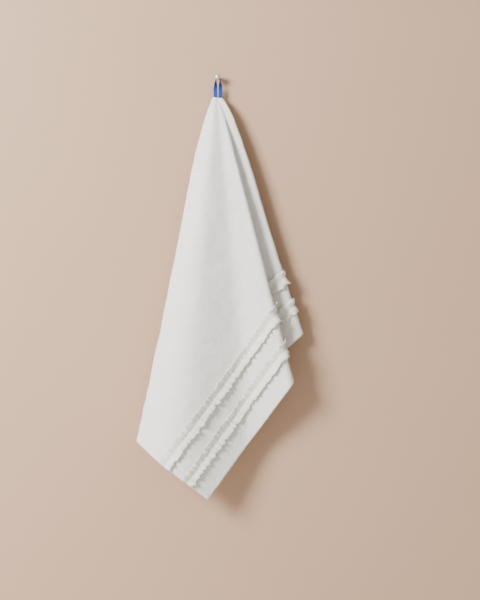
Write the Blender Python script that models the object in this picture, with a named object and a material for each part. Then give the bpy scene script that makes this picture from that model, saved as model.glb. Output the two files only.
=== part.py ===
# Hand towel hanging by its corner loop from a plain wall peg.
# The frame is metres with +Z up and +X to the right. The wall is the plane Y = 0 and the
# object hangs in front of it, at negative Y. The origin is the middle of the peg's back face.
#
# The cloth is one sheet that fans out from the corner sewn to the loop. A place on it is given
# by its distance from that corner ("reach") and by the angle at the corner ("way"), measured in
# degrees from the short side round to the long side. Folds run nearly along the ways, so a cut
# at one reach is a line of straight stretches joined by bends, and its length stays reach * way.

import math

import bmesh
import bpy
import numpy as np

MM = 0.001

# Towel, laid flat
LONG_SIDE = 700 * MM
SHORT_SIDE = 500 * MM
CLOTH_THICK = 1.5 * MM
CORNER_REACH = 11 * MM
TIP_Y = -13 * MM
TIP_Z = -34 * MM
CORNER_WAY = math.degrees(math.atan2(LONG_SIDE, SHORT_SIDE))

# Stretches between the folds, from the short side round to the long side. A heading is how far
# the stretch is turned from lying flat to the wall: 0 faces the room, 180 faces the wall.
#   name, heading at the corner, heading low down (degrees), reach over which it turns (mm)
STRETCHES = (
    ("tucked behind on the right", 34, 179, 51),
    ("right panel", -4, -9, 207),
    ("side of the pleat", 5, 163, 153),
    ("flank of the ridge", -10, -18, 400),
    ("right of the bulge", 12, 17, 190),
    ("left of the bulge", -22, -38, 208),
    ("tucked behind on the left", -50, -184, 26),
)
# Folds between those stretches.
#   name, way at the corner, way low down, width of the bend (degrees), reach of the move (mm)
FOLDS = (
    ("right edge", 3.6, 22.8, 3.4, 35),
    ("root of the pleat", 32.2, 32.2, 3.4, 100),
    ("ridge", 38.0, 38.0, 3.4, 100),
    ("valley", 47.5, 47.5, 6.0, 100),
    ("bulge", 60.4, 60.4, 10.0, 100),
    ("left edge", 83.2, 67.8, 3.0, 155),
)
# The line from the loop to the lowest corner, which places the rest of the fan.
SPINE_SHIFT = -4.0 * MM
SPINE_SHIFT_REACH = 100 * MM
SPINE_LEAN = -0.023
SPINE_FORWARD = 52 * MM
SPINE_FORWARD_REACH = 160 * MM

PANEL_STEP = 4.0
TUCK_STEP = 2.0
BEND_STEPS = 6
ROWS = 22

# Ruffles, gathered along their middle and sewn down parallel to the long hem
RUFFLE_LOWER_IN = 58 * MM
RUFFLE_UPPER_IN = 117 * MM
RUFFLE_WIDE = 29 * MM
RUFFLE_THICK = 0.8 * MM
RUFFLE_LIFT = 1.0 * MM
RUFFLE_STAND = 5.0 * MM
RUFFLE_WAVE = 1.0 * MM
RUFFLE_STATIONS = 104

# Hanging loop of folded tape
TAPE_WIDE = 8.0 * MM
TAPE_THICK = 1.4 * MM
LOOP_Y = -12.5 * MM
LOOP_FOOT_Z = -50 * MM
LOOP_LEG_X = 4.6 * MM
LOOP_BOW = 1.2 * MM
LOOP_FLAT = 0.35

# Wall peg
SHANK_RADIUS = 2.5 * MM
HEAD_RADIUS = 5.6 * MM
HEAD_BACK = -19.0 * MM
HEAD_FRONT = -23.0 * MM
HEAD_EDGE = 1.2 * MM
PEG_SIDES = 24


def material(name, colour, roughness, metallic=0.0):
    mat = bpy.data.materials.new(name)
    mat.use_nodes = True
    shader = mat.node_tree.nodes["Principled BSDF"]
    shader.inputs["Base Color"].default_value = (*colour, 1.0)
    shader.inputs["Roughness"].default_value = roughness
    shader.inputs["Metallic"].default_value = metallic
    return mat


def make_object(name, bm, mat, sharp=40.0):
    mesh = bpy.data.meshes.new(name)
    bm.to_mesh(mesh)
    bm.free()
    mesh.shade_smooth()
    mesh.set_sharp_from_angle(angle=math.radians(sharp))
    mesh.materials.append(mat)
    obj = bpy.data.objects.new(name, mesh)
    bpy.context.collection.objects.link(obj)
    return obj


def eased(t):
    t = np.clip(t, 0.0, 1.0)
    return t * t * (3.0 - 2.0 * t)


def headings(ways, reach):
    """Heading in radians at each way, in the cut at this reach."""
    values = []
    for _, near, low, turn in STRETCHES:
        grown = 1.0 - math.exp(-max(reach - CORNER_REACH, 0.0) / (turn * MM))
        values.append(near + (low - near) * grown)
    total = np.full_like(ways, values[0])
    for i, (_, near, low, wide, move) in enumerate(FOLDS):
        place = near + (low - near) * (1.0 - math.exp(-reach / (move * MM)))
        total += (values[i + 1] - values[i]) * eased((ways - place) / wide + 0.5)
    return np.radians(total)


def cloth_point(way, reach):
    """Middle of the sheet at this way and reach, walked along the cut from the spine."""
    ways = np.linspace(CORNER_WAY, way, 121)
    turn = headings(ways, reach)
    step = math.radians(way - CORNER_WAY) / 120
    across = np.cos(turn)
    deep = np.sin(turn)
    run_x = (across.sum() - 0.5 * (across[0] + across[-1])) * step
    run_y = (deep.sum() - 0.5 * (deep[0] + deep[-1])) * step
    shift = SPINE_SHIFT * math.exp(-reach / SPINE_SHIFT_REACH)
    forward = SPINE_FORWARD * (1.0 - math.exp(-reach / SPINE_FORWARD_REACH))
    x = shift + SPINE_LEAN * reach - reach * run_x
    y = TIP_Y - forward - reach * run_y
    drop = reach * reach - x * x - (y - TIP_Y) ** 2
    return np.array((x, y, TIP_Z - math.sqrt(max(drop, 1e-9))))


def cloth_normal(way, reach):
    """Unit normal of the sheet's right side, the one that faces the room on the front panel."""
    d_way = 0.15
    d_reach = 1.0 * MM
    along = cloth_point(way + d_way, reach) - cloth_point(way - d_way, reach)
    down = cloth_point(way, reach + d_reach) - cloth_point(way, reach - d_reach)
    normal = np.cross(along, down)
    return normal / np.linalg.norm(normal)


def edge_reach(way):
    """Distance from the loop's corner to the towel's far edge along this way."""
    angle = math.radians(way)
    to_hem = SHORT_SIDE / max(math.cos(angle), 1e-9)
    to_side = LONG_SIDE / max(math.sin(angle), 1e-9)
    return min(to_hem, to_side)


def cloth_ways():
    """Ways of the mesh's columns: close together in each bend, wide apart on the panels."""
    bends = []
    for _, _, low, wide, _ in FOLDS:
        for i in range(BEND_STEPS + 1):
            bends.append(low + wide * (i / BEND_STEPS - 0.5))
    ways = list(bends) + [CORNER_WAY, 0.0, 90.0]
    # Near the corner the two edge folds run out over the tucked stretches, so those are finer.
    way = TUCK_STEP
    while way < 90.0:
        tucked = way < FOLDS[0][2] or way > FOLDS[-1][2]
        step = TUCK_STEP if tucked else PANEL_STEP
        if min(abs(way - other) for other in ways) > 0.45 * step:
            ways.append(way)
        way += step
    return sorted(ways)


def sheet(front, back):
    """Closed sheet between two equal grids of points."""
    bm = bmesh.new()
    front_rows = [[bm.verts.new(p) for p in row] for row in front]
    back_rows = [[bm.verts.new(p) for p in row] for row in back]
    last_row = len(front) - 1
    last_col = len(front[0]) - 1
    for i in range(last_row):
        for j in range(last_col):
            a, b = front_rows[i][j], front_rows[i][j + 1]
            c, d = front_rows[i + 1][j + 1], front_rows[i + 1][j]
            bm.faces.new((a, b, c, d))
            a, b = back_rows[i][j], back_rows[i][j + 1]
            c, d = back_rows[i + 1][j + 1], back_rows[i + 1][j]
            bm.faces.new((d, c, b, a))
    for i in range(last_row):
        for j in (0, last_col):
            bm.faces.new((front_rows[i][j], front_rows[i + 1][j],
                          back_rows[i + 1][j], back_rows[i][j]))
    for j in range(last_col):
        for i in (0, last_row):
            bm.faces.new((front_rows[i][j], front_rows[i][j + 1],
                          back_rows[i][j + 1], back_rows[i][j]))
    bmesh.ops.triangulate(bm, faces=bm.faces[:])
    bmesh.ops.recalc_face_normals(bm, faces=bm.faces[:])
    return bm


def make_towel():
    front = []
    back = []
    for i in range(ROWS + 1):
        share = (i / ROWS) ** 1.35
        front_row = []
        back_row = []
        for way in cloth_ways():
            reach = CORNER_REACH + share * (edge_reach(way) - CORNER_REACH)
            middle = cloth_point(way, reach)
            offset = cloth_normal(way, reach) * 0.5 * CLOTH_THICK
            front_row.append(middle + offset)
            back_row.append(middle - offset)
        front.append(front_row)
        back.append(back_row)
    cotton = material("off-white cotton", (0.80, 0.79, 0.74), 0.9)
    return make_object("towel", sheet(front, back), cotton, 60.0)


def make_ruffle(name, inset, phase):
    """Gathered strip: its middle lies on the cloth, and both its edges stand up and wave."""
    across = (-1.0, 0.0, 1.0)
    outer = []
    inner = []
    for i in range(RUFFLE_STATIONS + 1):
        along = (i / RUFFLE_STATIONS) * LONG_SIDE
        outer_row = []
        inner_row = []
        for side in across:
            wave = RUFFLE_WAVE * math.sin(0.5 * math.pi * i + side * phase) * abs(side)
            out = SHORT_SIDE - inset + side * 0.5 * RUFFLE_WIDE
            way = math.degrees(math.atan2(along, out))
            reach = math.hypot(along, out)
            normal = cloth_normal(way, reach)
            height = 0.5 * CLOTH_THICK + RUFFLE_LIFT + RUFFLE_STAND * abs(side) + wave
            base = cloth_point(way, reach)
            inner_row.append(base + normal * height)
            outer_row.append(base + normal * (height + RUFFLE_THICK))
        outer.append(outer_row)
        inner.append(inner_row)
    cream = material(name + " cotton", (0.78, 0.77, 0.70), 0.9)
    return make_object(name, sheet(outer, inner), cream, 60.0)


def make_loop():
    """Folded tape that goes up one leg, over the peg's shank and down the other leg."""
    arch = SHANK_RADIUS + 0.4 * MM + 0.5 * TAPE_THICK
    stations = []
    leg_steps = 12
    for i in range(leg_steps):
        t = i / leg_steps
        x = -(LOOP_LEG_X + (arch - LOOP_LEG_X) * t + LOOP_BOW * math.sin(math.pi * t))
        z = LOOP_FOOT_Z * (1.0 - t)
        stations.append((x, z, 90.0 * eased((t - LOOP_FLAT) / (1.0 - LOOP_FLAT))))
    for i in range(9):
        angle = math.pi * (1.0 - i / 8)
        stations.append((arch * math.cos(angle), arch * math.sin(angle), 90.0))
    for x, z, twist in reversed(stations[:leg_steps]):
        stations.append((-x, z, 180.0 - twist))
    outer = []
    inner = []
    for i, (x, z, twist) in enumerate(stations):
        before = stations[max(i - 1, 0)]
        after = stations[min(i + 1, len(stations) - 1)]
        tangent = np.array((after[0] - before[0], 0.0, after[1] - before[1]))
        tangent /= np.linalg.norm(tangent)
        flat = np.array((tangent[2], 0.0, -tangent[0]))
        turn = math.radians(twist)
        wide = flat * math.cos(turn) + np.array((0.0, 1.0, 0.0)) * math.sin(turn)
        thick = np.cross(wide, tangent)
        centre = np.array((x, LOOP_Y, z))
        outer.append([centre + wide * s * TAPE_WIDE + thick * 0.5 * TAPE_THICK for s in (-0.5, 0.5)])
        inner.append([centre + wide * s * TAPE_WIDE - thick * 0.5 * TAPE_THICK for s in (-0.5, 0.5)])
    blue = material("blue tape", (0.035, 0.09, 0.42), 0.75)
    return make_object("hanging_loop", sheet(outer, inner), blue, 50.0)


def make_peg():
    """Round shank with its flat end on the wall and a low domed head."""
    profile = [
        (0.0, 0.0),
        (SHANK_RADIUS, 0.0),
        (SHANK_RADIUS, HEAD_BACK),
        (HEAD_RADIUS, HEAD_BACK),
        (HEAD_RADIUS, HEAD_BACK - HEAD_EDGE),
    ]
    dome = HEAD_FRONT - HEAD_BACK + HEAD_EDGE
    for i in range(1, 5):
        angle = 0.5 * math.pi * i / 5
        profile.append((HEAD_RADIUS * math.cos(angle), HEAD_BACK - HEAD_EDGE + dome * math.sin(angle)))
    profile.append((0.0, HEAD_FRONT))
    bm = bmesh.new()
    verts = [bm.verts.new((radius, y, 0.0)) for radius, y in profile]
    edges = [bm.edges.new(pair) for pair in zip(verts, verts[1:])]
    bmesh.ops.spin(bm, geom=verts + edges, axis=(0, 1, 0), cent=(0, 0, 0),
                   steps=PEG_SIDES, angle=2 * math.pi, use_duplicate=False)
    bmesh.ops.remove_doubles(bm, verts=bm.verts[:], dist=0.00001)
    bmesh.ops.recalc_face_normals(bm, faces=bm.faces[:])
    metal = material("grey metal", (0.55, 0.54, 0.57), 0.35, 0.9)
    return make_object("wall_peg", bm, metal, 40.0)


for old in list(bpy.data.objects):
    bpy.data.objects.remove(old, do_unlink=True)

make_towel()
make_ruffle("ruffle_lower", RUFFLE_LOWER_IN, 0.8)
make_ruffle("ruffle_upper", RUFFLE_UPPER_IN, 1.1)
make_loop()
make_peg()
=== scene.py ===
"""Hand towel hung by its corner loop from a plain wall peg.

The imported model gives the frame: metres, +Z up, +X to the right, the wall at Y = 0 and the
origin in the middle of the peg's back face. One section for each piece follows the set.
"""
import math

import bmesh
import bpy
import numpy as np
from mathutils import Matrix, Vector, noise


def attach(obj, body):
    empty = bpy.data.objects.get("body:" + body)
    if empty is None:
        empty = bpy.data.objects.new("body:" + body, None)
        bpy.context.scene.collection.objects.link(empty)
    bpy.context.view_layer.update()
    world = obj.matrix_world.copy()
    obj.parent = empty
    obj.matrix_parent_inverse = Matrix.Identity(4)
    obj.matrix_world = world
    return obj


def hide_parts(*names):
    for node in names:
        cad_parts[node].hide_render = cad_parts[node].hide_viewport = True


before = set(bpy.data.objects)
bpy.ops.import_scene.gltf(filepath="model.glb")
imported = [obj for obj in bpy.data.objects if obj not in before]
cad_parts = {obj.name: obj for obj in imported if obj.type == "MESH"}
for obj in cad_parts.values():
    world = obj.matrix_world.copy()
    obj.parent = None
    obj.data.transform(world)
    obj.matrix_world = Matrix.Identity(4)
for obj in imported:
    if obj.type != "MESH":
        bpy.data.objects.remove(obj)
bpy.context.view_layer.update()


# ---------------------------------------------------------------- Set
# A pale floor, a plain painted wall behind the towel, one broad light high on the left and a
# weak fill. The wall shows from the room's side only, so the back of the towel can be seen.

TOWEL_DEPTH_Y = -0.045
VIEW_X = 0.047
VIEW_Z = -0.474
VIEW_HEIGHT = 1.263
LENS = 85.0
SENSOR = 36.0

camera_data = bpy.data.cameras.new("camera")
camera_data.lens = LENS
camera_data.sensor_width = SENSOR
camera = bpy.data.objects.new("camera", camera_data)
camera.location = (VIEW_X, TOWEL_DEPTH_Y - VIEW_HEIGHT * LENS / SENSOR, VIEW_Z)
camera.rotation_euler = (math.radians(90.0), 0.0, 0.0)
bpy.context.collection.objects.link(camera)
bpy.context.scene.camera = camera


def set_plane(name, centre, turn, size):
    bm = bmesh.new()
    bmesh.ops.create_grid(bm, x_segments=1, y_segments=1, size=size)
    bmesh.ops.rotate(bm, verts=bm.verts, cent=(0, 0, 0), matrix=turn)
    bmesh.ops.translate(bm, verts=bm.verts, vec=centre)
    mesh = bpy.data.meshes.new(name)
    bm.to_mesh(mesh)
    bm.free()
    plane = bpy.data.objects.new(name, mesh)
    bpy.context.collection.objects.link(plane)
    return plane


def set_paint(name, colour, seen_from_behind):
    paint = bpy.data.materials.new(name)
    paint.use_nodes = True
    nodes, links = paint.node_tree.nodes, paint.node_tree.links
    shader = nodes["Principled BSDF"]
    shader.inputs["Roughness"].default_value = 0.85
    coords = nodes.new("ShaderNodeTexCoord")
    cloud = nodes.new("ShaderNodeTexNoise")
    cloud.inputs["Scale"].default_value = 3.0
    tones = nodes.new("ShaderNodeValToRGB")
    tones.color_ramp.elements[0].color = (*[0.97 * c for c in colour], 1.0)
    tones.color_ramp.elements[1].color = (*[1.03 * c for c in colour], 1.0)
    links.new(coords.outputs["Object"], cloud.inputs["Vector"])
    links.new(cloud.outputs["Fac"], tones.inputs["Fac"])
    links.new(tones.outputs["Color"], shader.inputs["Base Color"])
    if not seen_from_behind:
        clear = nodes.new("ShaderNodeBsdfTransparent")
        side = nodes.new("ShaderNodeNewGeometry")
        pick = nodes.new("ShaderNodeMixShader")
        links.new(side.outputs["Backfacing"], pick.inputs["Fac"])
        links.new(shader.outputs["BSDF"], pick.inputs[1])
        links.new(clear.outputs["BSDF"], pick.inputs[2])
        links.new(pick.outputs["Shader"], nodes["Material Output"].inputs["Surface"])
    return paint


wall = set_plane("wall_backdrop", (0.0, 0.001, 0.7), Matrix.Rotation(math.radians(90), 3, "X"), 2.2)
wall.data.materials.append(set_paint("wall paint", (0.485, 0.318, 0.212), False))
floor = set_plane("floor", (0.0, 0.0, -1.5), Matrix.Identity(3), 6.0)
floor.data.materials.append(set_paint("floor paint", (0.72, 0.68, 0.63), True))


def set_light(name, place, aim, size, power, colour):
    data = bpy.data.lights.new(name, "AREA")
    data.size = size
    data.energy = power
    data.color = colour
    light = bpy.data.objects.new(name, data)
    light.location = place
    light.rotation_euler = (Vector(aim) - Vector(place)).to_track_quat("-Z", "Y").to_euler()
    bpy.context.collection.objects.link(light)


set_light("key", (-2.1, -2.0, 0.75), (0.0, 0.0, -0.45), 1.1, 262.0, (1.0, 0.99, 0.975))
set_light("fill", (1.6, -2.6, 0.2), (0.0, 0.0, -0.5), 2.2, 9.0, (1.0, 0.98, 0.96))
world = bpy.data.worlds.new("studio")
world.use_nodes = True
world.node_tree.nodes["Background"].inputs["Color"].default_value = (1.0, 0.985, 0.965, 1.0)
world.node_tree.nodes["Background"].inputs["Strength"].default_value = 0.43
bpy.context.scene.world = world


# ---------------------------------------------------------------- Towel
# One piece of washed off-white cotton, hemmed all round. It is cut flat and every point of the
# flat cloth is then moved to where it hangs. It is sewn to its loop at the corner (0, 0): the
# first side is the 700 mm one, the second the 500 mm one, and the folds fan out from the corner.

LONG_SIDE = 0.700
SHORT_SIDE = 0.500
CORNER_REACH = 0.011
TIP_Y = -0.013
TIP_Z = -0.034
CORNER_WAY = math.degrees(math.atan2(LONG_SIDE, SHORT_SIDE))

# The line from the loop to the lowest corner: sideways, forward, and the reach each takes.
SPINE_SHIFT = -0.004
SPINE_SHIFT_REACH = 0.100
SPINE_LEAN = -0.023
SPINE_FORWARD = 0.052
SPINE_FORWARD_REACH = 0.160

# name, heading at the corner, heading low down (degrees), reach over which it turns (metres)
STRETCHES = (
    ("tucked behind on the right", 34, 179, 0.051),
    ("right panel", -4, -9, 0.207),
    ("side of the pleat", 5, 163, 0.153),
    ("flank of the ridge", -10, -18, 0.400),
    ("right of the bulge", 12, 17, 0.190),
    ("left of the bulge", -22, -38, 0.208),
    ("tucked behind on the left", -50, -184, 0.026),
)
# name, way at the corner, way low down, width of the bend (degrees), reach of the move (metres)
FOLDS = (
    ("right edge", 3.6, 22.8, 3.4, 0.035),
    ("root of the pleat", 32.2, 32.2, 3.4, 0.100),
    ("ridge", 38.0, 38.0, 3.4, 0.100),
    ("valley", 47.5, 47.5, 6.0, 0.100),
    ("bulge", 60.4, 60.4, 10.0, 0.100),
    ("left edge", 83.2, 67.8, 3.0, 0.155),
)
TOWEL_STEP = 0.0036
TOWEL_THICK = 0.0013
CORNER_CUT = 0.0155
FINE_REACH = 0.075


def headings(ways, reach):
    values = []
    for _, near, low, turn in STRETCHES:
        grown = 1.0 - math.exp(-max(reach - CORNER_REACH, 0.0) / turn)
        values.append(near + (low - near) * grown)
    total = np.full_like(ways, values[0])
    for i, (_, near, low, wide, move) in enumerate(FOLDS):
        place = near + (low - near) * (1.0 - math.exp(-reach / move))
        t = np.clip((ways - place) / wide + 0.5, 0.0, 1.0)
        total += (values[i + 1] - values[i]) * t * t * (3.0 - 2.0 * t)
    return np.radians(total)


def hung(way, reach):
    """Where the point of the flat cloth at this angle and distance from the corner hangs."""
    turn = headings(np.linspace(CORNER_WAY, way, 121), reach)
    step = math.radians(way - CORNER_WAY) / 120
    across, deep = np.cos(turn), np.sin(turn)
    run_x = (across.sum() - 0.5 * (across[0] + across[-1])) * step
    run_y = (deep.sum() - 0.5 * (deep[0] + deep[-1])) * step
    shift = SPINE_SHIFT * math.exp(-reach / SPINE_SHIFT_REACH)
    forward = SPINE_FORWARD * (1.0 - math.exp(-reach / SPINE_FORWARD_REACH))
    x = shift + SPINE_LEAN * reach - reach * run_x
    y = TIP_Y - forward - reach * run_y
    drop = reach * reach - x * x - (y - TIP_Y) ** 2
    return Vector((x, y, TIP_Z - math.sqrt(max(drop, 1e-9))))


def hung_flat(along, out):
    """The same, from the flat cloth's own two sides."""
    reach = max(math.hypot(along, out), CORNER_REACH)
    return hung(math.degrees(math.atan2(along, out)), reach)


def hung_normal(along, out):
    d = 0.0008
    a = hung_flat(along + d, out) - hung_flat(along - d, out)
    b = hung_flat(along, out + d) - hung_flat(along, out - d)
    return a.cross(b).normalized()


bm = bmesh.new()
bmesh.ops.create_grid(bm, x_segments=round(LONG_SIDE / TOWEL_STEP),
                      y_segments=round(SHORT_SIDE / TOWEL_STEP), size=0.5)
bmesh.ops.scale(bm, verts=bm.verts, vec=(LONG_SIDE, SHORT_SIDE, 1.0))
bmesh.ops.translate(bm, verts=bm.verts, vec=(0.5 * LONG_SIDE, 0.5 * SHORT_SIDE, 0.0))
near = [e for e in bm.edges if max(v.co.length for v in e.verts) < FINE_REACH]
bmesh.ops.subdivide_edges(bm, edges=near, cuts=1, use_grid_fill=True)
bmesh.ops.bisect_plane(bm, geom=bm.verts[:] + bm.edges[:] + bm.faces[:], clear_inner=True,
                       plane_co=(CORNER_CUT, 0.0, 0.0), plane_no=(1.0, 1.0, 0.0))
flat_uv = bm.loops.layers.uv.new("flat")
for face in bm.faces:
    for loop in face.loops:
        loop[flat_uv].uv = loop.vert.co.xy
flat_place = {v: v.co.copy() for v in bm.verts}
for vert, flat in flat_place.items():
    vert.co = hung_flat(flat.x, flat.y)
bm.normal_update()
bm.faces.ensure_lookup_table()
sample = bm.faces[-1]
sample_flat = sum((flat_place[v] for v in sample.verts), Vector()) / len(sample.verts)
if sample.normal.dot(hung_normal(sample_flat.x, sample_flat.y)) < 0.0:
    bmesh.ops.reverse_faces(bm, faces=bm.faces)
    bm.normal_update()
# Slack in the washed cloth: broad soft ripples, which die out at the loop.
for vert, flat in flat_place.items():
    loose = min(1.0, flat.length / 0.15)
    broad = noise.noise(Vector((flat.x * 14.0, flat.y * 14.0, 3.0)))
    small = noise.noise(Vector((flat.x * 42.0, flat.y * 42.0, 9.0)))
    vert.co += vert.normal * loose * (0.0013 * broad + 0.0008 * small)

cloth_mesh = bpy.data.meshes.new("towel_cloth")
bm.to_mesh(cloth_mesh)
bm.free()
cloth_mesh.shade_smooth()
towel = bpy.data.objects.new("towel_cloth", cloth_mesh)
bpy.context.collection.objects.link(towel)
thickness = towel.modifiers.new("thickness", "SOLIDIFY")
thickness.thickness = TOWEL_THICK
thickness.offset = 0.0


def woven_group():
    """Plain weave and washed crinkle on the flat cloth. Gives a height, and a painted shade that is
    darker in the crinkle's hollows and lighter on its rises.
    """
    group = bpy.data.node_groups.new("washed weave", "ShaderNodeTree")
    for socket, default in (("Threads", 700.0), ("Crinkle", 120.0), ("Crinkle Depth", 0.5)):
        made = group.interface.new_socket(socket, in_out="INPUT", socket_type="NodeSocketFloat")
        made.default_value = default
    group.interface.new_socket("Flat", in_out="INPUT", socket_type="NodeSocketVector")
    group.interface.new_socket("Height", in_out="OUTPUT", socket_type="NodeSocketFloat")
    group.interface.new_socket("Shade", in_out="OUTPUT", socket_type="NodeSocketFloat")
    nodes, links = group.nodes, group.links
    given = nodes.new("NodeGroupInput")
    result = nodes.new("NodeGroupOutput")
    threads = []
    for direction in ("X", "Y"):
        wave = nodes.new("ShaderNodeTexWave")
        wave.bands_direction = direction
        wave.inputs["Distortion"].default_value = 0.6
        wave.inputs["Detail Scale"].default_value = 0.4
        links.new(given.outputs["Flat"], wave.inputs["Vector"])
        links.new(given.outputs["Threads"], wave.inputs["Scale"])
        threads.append(wave.outputs["Fac"])
    weave = nodes.new("ShaderNodeMath")
    weave.operation = "MAXIMUM"
    links.new(threads[0], weave.inputs[0])
    links.new(threads[1], weave.inputs[1])
    crinkle = nodes.new("ShaderNodeTexNoise")
    crinkle.inputs["Detail"].default_value = 4.0
    crinkle.inputs["Roughness"].default_value = 0.62
    links.new(given.outputs["Flat"], crinkle.inputs["Vector"])
    links.new(given.outputs["Crinkle"], crinkle.inputs["Scale"])
    deep = nodes.new("ShaderNodeMath")
    deep.operation = "MULTIPLY"
    links.new(crinkle.outputs["Fac"], deep.inputs[0])
    links.new(given.outputs["Crinkle Depth"], deep.inputs[1])
    fine = nodes.new("ShaderNodeMath")
    fine.operation = "MULTIPLY_ADD"
    fine.inputs[1].default_value = 0.10
    links.new(weave.outputs["Value"], fine.inputs[0])
    links.new(deep.outputs["Value"], fine.inputs[2])
    links.new(fine.outputs["Value"], result.inputs["Height"])
    # The crinkle's own height also goes out as painted shade for the colour: low hollows dark,
    # rises light.
    links.new(crinkle.outputs["Fac"], result.inputs["Shade"])
    return group


washed_weave = woven_group()


def cotton(name, dark, light, threads, crinkle, depth, bump_distance):
    """Matte cotton or tape with the weave group, on the piece's flat map. Its colour is painted
    shade: dark in the crinkle's hollows, light on its rises.
    """
    mat = bpy.data.materials.new(name)
    mat.use_nodes = True
    nodes, links = mat.node_tree.nodes, mat.node_tree.links
    shader = nodes["Principled BSDF"]
    shader.inputs["Roughness"].default_value = 0.92
    shader.inputs["Specular IOR Level"].default_value = 0.25
    shader.inputs["Sheen Weight"].default_value = 0.15
    flat = nodes.new("ShaderNodeUVMap")
    flat.uv_map = "flat"
    weave = nodes.new("ShaderNodeGroup")
    weave.node_tree = washed_weave
    weave.inputs["Threads"].default_value = threads
    weave.inputs["Crinkle"].default_value = crinkle
    weave.inputs["Crinkle Depth"].default_value = depth
    # Painted shade: the base colour runs from dark in the crinkle's hollows to light on its rises,
    # from the same noise that makes the bump.
    tones = nodes.new("ShaderNodeValToRGB")
    tones.color_ramp.elements[0].position = 0.3
    tones.color_ramp.elements[0].color = (*dark, 1.0)
    tones.color_ramp.elements[1].position = 0.7
    tones.color_ramp.elements[1].color = (*light, 1.0)
    bump = nodes.new("ShaderNodeBump")
    bump.inputs["Strength"].default_value = 0.5
    bump.inputs["Distance"].default_value = bump_distance
    links.new(flat.outputs["UV"], weave.inputs["Flat"])
    links.new(weave.outputs["Shade"], tones.inputs["Fac"])
    links.new(tones.outputs["Color"], shader.inputs["Base Color"])
    links.new(weave.outputs["Height"], bump.inputs["Height"])
    links.new(bump.outputs["Normal"], shader.inputs["Normal"])
    return mat, weave, bump


# The hem is turned under. Its stitches show as a sunk line near the long hem and the far side.
HEM_LONG = 0.022
HEM_SIDE = 0.012
towel_cotton, towel_weave, towel_bump = cotton(
    "off-white washed cotton", dark=(0.800, 0.794, 0.752), light=(0.872, 0.868, 0.838),
    threads=620.0, crinkle=95.0, depth=0.8, bump_distance=0.0034)
nodes, links = towel_cotton.node_tree.nodes, towel_cotton.node_tree.links
split = nodes.new("ShaderNodeSeparateXYZ")
links.new(nodes["UV Map"].outputs["UV"], split.inputs["Vector"])
hem_height = towel_weave.outputs["Height"]
for axis, edge, inset, drop in (("Y", SHORT_SIDE, HEM_LONG, 0.9), ("X", LONG_SIDE, HEM_SIDE, 0.7)):
    line = nodes.new("ShaderNodeMath")
    line.operation = "COMPARE"
    line.inputs[1].default_value = edge - inset
    line.inputs[2].default_value = 0.0009
    links.new(split.outputs[axis], line.inputs[0])
    sink = nodes.new("ShaderNodeMath")
    sink.operation = "MULTIPLY_ADD"
    sink.inputs[1].default_value = -drop
    links.new(line.outputs["Value"], sink.inputs[0])
    links.new(hem_height, sink.inputs[2])
    hem_height = sink.outputs["Value"]
links.new(hem_height, towel_bump.inputs["Height"])
cloth_mesh.materials.append(towel_cotton)
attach(towel, "root")
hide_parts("towel")


# ---------------------------------------------------------------- Ruffles
# Two strips of thinner cream cotton, gathered along the middle and sewn down with one row of
# stitches. The stitches press the middle to the towel and both edges stand up in small flutes.

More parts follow.
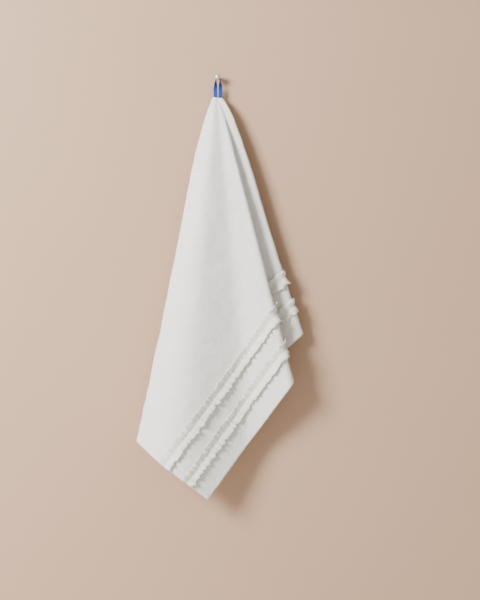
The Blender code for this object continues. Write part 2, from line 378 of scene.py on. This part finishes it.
RUFFLE_WIDE = 0.029
RUFFLE_THICK = 0.0006
RUFFLE_STAND = 0.0050
RUFFLE_LIFT = 0.0016
RUFFLE_LEAST = 0.0012
FLUTE = 0.0112
FLUTE_DEEP = 0.0027
RUFFLE_STEP = 0.0012
RUFFLE_FULLNESS = 1.3
ruffle_cotton, _, _ = cotton(
    "cream gathered cotton", dark=(0.745, 0.735, 0.670), light=(0.850, 0.845, 0.800),
    threads=900.0, crinkle=220.0, depth=0.8, bump_distance=0.0016)
for name, node, inset, seed in (("lower_ruffle_cloth", "ruffle_lower", 0.058, 4.0),
                                ("upper_ruffle_cloth", "ruffle_upper", 0.117, 11.0)):
    bm = bmesh.new()
    bmesh.ops.create_grid(bm, x_segments=round(LONG_SIDE / RUFFLE_STEP), y_segments=10, size=0.5)
    bmesh.ops.scale(bm, verts=bm.verts, vec=(LONG_SIDE, RUFFLE_WIDE, 1.0))
    bmesh.ops.translate(bm, verts=bm.verts, vec=(0.5 * LONG_SIDE, 0.0, 0.0))
    flat_uv = bm.loops.layers.uv.new("flat")
    for face in bm.faces:
        for loop in face.loops:
            loop[flat_uv].uv = (loop.vert.co.x * RUFFLE_FULLNESS, loop.vert.co.y)
    for vert in bm.verts:
        along, side = vert.co.x, vert.co.y / (0.5 * RUFFLE_WIDE)
        out = abs(side)
        drift = 6.0 * noise.noise(Vector((along * 34.0, seed + 3.0 * (side > 0), 0.0)))
        turn = 2.0 * math.pi * along / FLUTE + drift + 0.9 * side
        pucker = noise.noise(Vector((along * 150.0, seed + 1.6 * side, 5.0)))
        flute = 0.65 * math.sin(turn) + 1.1 * pucker
        size = 0.85 + 0.8 * noise.noise(Vector((along * 60.0, seed + side, 2.0)))
        lean = 0.0016 * out * size * math.cos(turn)
        wander = 0.0032 * noise.noise(Vector((along * 48.0, seed + 2.0 * side, 8.0)))
        place = SHORT_SIDE - inset + vert.co.y + 0.0014 * side * flute * size + wander * out
        place_along = min(max(along + lean, 0.0), LONG_SIDE)
        height = RUFFLE_LIFT + RUFFLE_STAND * out ** 0.8 + FLUTE_DEEP * out ** 0.7 * flute * size
        out_of_cloth = hung_normal(place_along, place) * max(height, RUFFLE_LEAST)
        vert.co = hung_flat(place_along, place) + out_of_cloth
    bmesh.ops.recalc_face_normals(bm, faces=bm.faces)
    mesh = bpy.data.meshes.new(name)
    bm.to_mesh(mesh)
    bm.free()
    mesh.shade_smooth()
    mesh.materials.append(ruffle_cotton)
    ruffle = bpy.data.objects.new(name, mesh)
    bpy.context.collection.objects.link(ruffle)
    thickness = ruffle.modifiers.new("thickness", "SOLIDIFY")
    thickness.thickness = RUFFLE_THICK
    thickness.offset = 0.0
    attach(ruffle, "root")
    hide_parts(node)


# ---------------------------------------------------------------- Hanging loop
# One band of royal blue twill tape. Both ends are sewn flat behind the towel's corner, and the
# band turns edge-on as it rises, so that its width lies along the peg where it passes over.

TAPE_WIDE = 0.0080
TAPE_THICK = 0.0013
TAPE_LONG = 0.115
LOOP_Y = -0.0125
LOOP_FOOT_Z = -0.050
LOOP_LEG_X = 0.0046
LOOP_BOW = 0.0012
LOOP_ARCH = 0.0036
LOOP_FLAT = 0.35
LEG_STEPS = 26
ARCH_STEPS = 20


def loop_station(share):
    """Place and twist at this share of the band, from the left end to the right."""
    leg = 0.42
    mirror = 1.0
    if share > 0.5:
        share, mirror = 1.0 - share, -1.0
    if share < leg:
        t = share / leg
        bow = LOOP_BOW * math.sin(math.pi * t)
        x = -(LOOP_LEG_X + (LOOP_ARCH - LOOP_LEG_X) * t + bow)
        z = LOOP_FOOT_Z * (1.0 - t)
        e = max((t - LOOP_FLAT) / (1.0 - LOOP_FLAT), 0.0)
        twist = 90.0 * e * e * (3.0 - 2.0 * e)
    else:
        angle = math.pi * (1.0 - 0.5 * (share - leg) / (0.5 - leg))
        x, z, twist = LOOP_ARCH * math.cos(angle), LOOP_ARCH * math.sin(angle), 90.0
    return Vector((mirror * x, LOOP_Y, z)), twist if mirror > 0 else 180.0 - twist


bm = bmesh.new()
bmesh.ops.create_grid(bm, x_segments=LEG_STEPS * 2 + ARCH_STEPS, y_segments=6, size=0.5)
flat_uv = bm.loops.layers.uv.new("flat")
for face in bm.faces:
    for loop in face.loops:
        loop[flat_uv].uv = (loop.vert.co.x * TAPE_LONG, loop.vert.co.y * TAPE_WIDE)
for vert in bm.verts:
    share, side = vert.co.x + 0.5, vert.co.y
    place, twist = loop_station(share)
    before, _ = loop_station(max(share - 0.004, 0.0))
    after, _ = loop_station(min(share + 0.004, 1.0))
    run = (after - before).normalized()
    wide = Vector((run.z, 0.0, -run.x)) * math.cos(math.radians(twist))
    wide += Vector((0.0, 1.0, 0.0)) * math.sin(math.radians(twist))
    vert.co = place + wide * side * TAPE_WIDE
bmesh.ops.recalc_face_normals(bm, faces=bm.faces)
mesh = bpy.data.meshes.new("loop_tape")
bm.to_mesh(mesh)
bm.free()
mesh.shade_smooth()
tape = bpy.data.objects.new("loop_tape", mesh)
bpy.context.collection.objects.link(tape)
thickness = tape.modifiers.new("thickness", "SOLIDIFY")
thickness.thickness = TAPE_THICK
thickness.offset = 0.0
rounding = tape.modifiers.new("rounding", "BEVEL")
rounding.width = 0.0003
rounding.segments = 2
rounding.limit_method = "ANGLE"
tape_twill, _, _ = cotton(
    "royal blue twill", dark=(0.006, 0.034, 0.215), light=(0.014, 0.062, 0.35),
    threads=520.0, crinkle=400.0, depth=0.35, bump_distance=0.0006)
tape_twill.node_tree.nodes["Principled BSDF"].inputs["Roughness"].default_value = 0.72
mesh.materials.append(tape_twill)
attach(tape, "root")
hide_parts("hanging_loop")


# ---------------------------------------------------------------- Wall peg
# A short turned peg of satin grey metal: a plain shank in the wall and a low domed head that
# keeps the loop on. The solid from the frame is right, so it only gets its finish here.

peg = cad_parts["wall_peg"]
satin = bpy.data.materials.new("satin grey metal")
satin.use_nodes = True
nodes, links = satin.node_tree.nodes, satin.node_tree.links
shader = nodes["Principled BSDF"]
shader.inputs["Metallic"].default_value = 0.75
coords = nodes.new("ShaderNodeTexCoord")
grain = nodes.new("ShaderNodeTexNoise")
grain.inputs["Scale"].default_value = 900.0
grain.inputs["Detail"].default_value = 3.0
tones = nodes.new("ShaderNodeValToRGB")
tones.color_ramp.elements[0].color = (0.50, 0.49, 0.54, 1.0)
tones.color_ramp.elements[1].color = (0.64, 0.63, 0.68, 1.0)
gloss = nodes.new("ShaderNodeMapRange")
gloss.inputs["To Min"].default_value = 0.32
gloss.inputs["To Max"].default_value = 0.48
bump = nodes.new("ShaderNodeBump")
bump.inputs["Strength"].default_value = 0.15
bump.inputs["Distance"].default_value = 0.0002
links.new(coords.outputs["Object"], grain.inputs["Vector"])
links.new(grain.outputs["Fac"], tones.inputs["Fac"])
links.new(tones.outputs["Color"], shader.inputs["Base Color"])
links.new(grain.outputs["Fac"], gloss.inputs["Value"])
links.new(gloss.outputs["Result"], shader.inputs["Roughness"])
links.new(grain.outputs["Fac"], bump.inputs["Height"])
links.new(bump.outputs["Normal"], shader.inputs["Normal"])
for slot in peg.material_slots:
    slot.material = satin
